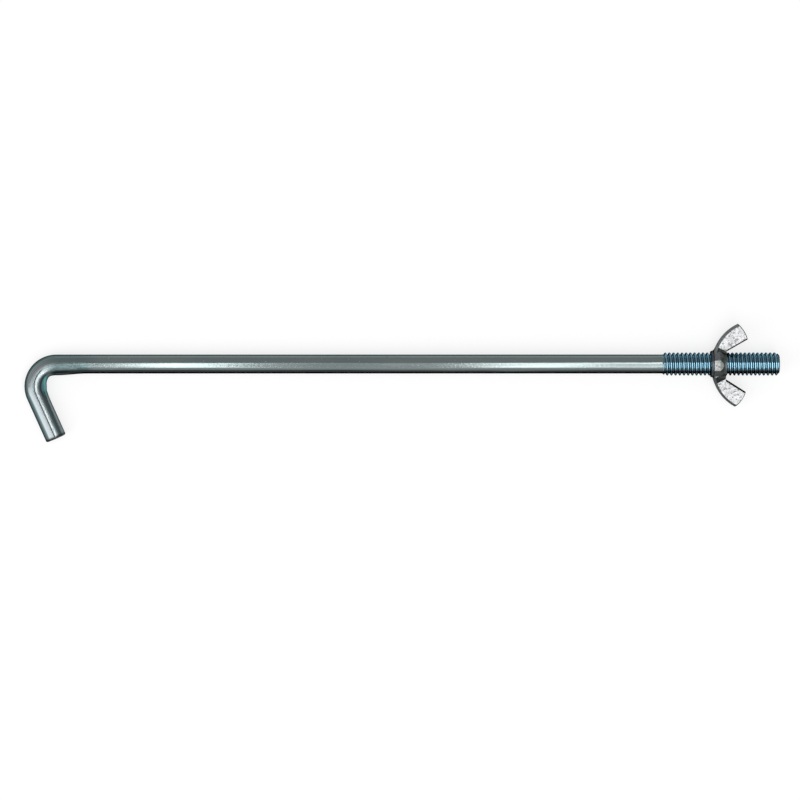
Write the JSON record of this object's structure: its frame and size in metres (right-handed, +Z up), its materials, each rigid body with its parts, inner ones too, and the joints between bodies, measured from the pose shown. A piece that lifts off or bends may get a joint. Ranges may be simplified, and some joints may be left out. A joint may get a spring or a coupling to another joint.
{
  "type": "j bolt",
  "caption": "Hooked steel rod with a threaded end and a wing nut, for holding down a battery or clamping a load to a lip or hole.",
  "frame": {"origin": "centre of the bounding box's bottom, on the surface that the bolt lies on", "axes": "+X along the shank to the thread's tip, 0.34 degrees below the shank's own axis; the hook's leg points to -Y; +Z up"},
  "size_m": [0.254, 0.0398, 0.0097],
  "materials": {
    "zinc_plated_rod": "bright zinc plating, drawn and rolled",
    "zinc_plated_forging": "bright zinc plating on a forged face"
  },
  "bodies": {
    "bolt": {"hook_bolt": "zinc_plated_rod"},
    "nut": {"wing_nut": "zinc_plated_forging"}
  },
  "joints": [
    {"name": "nut_travel", "type": "slide", "parent": "bolt", "child": "nut", "axis": [1, 0, 0.0059], "range_m": [-0.0152, 0.0178]}
  ]
}
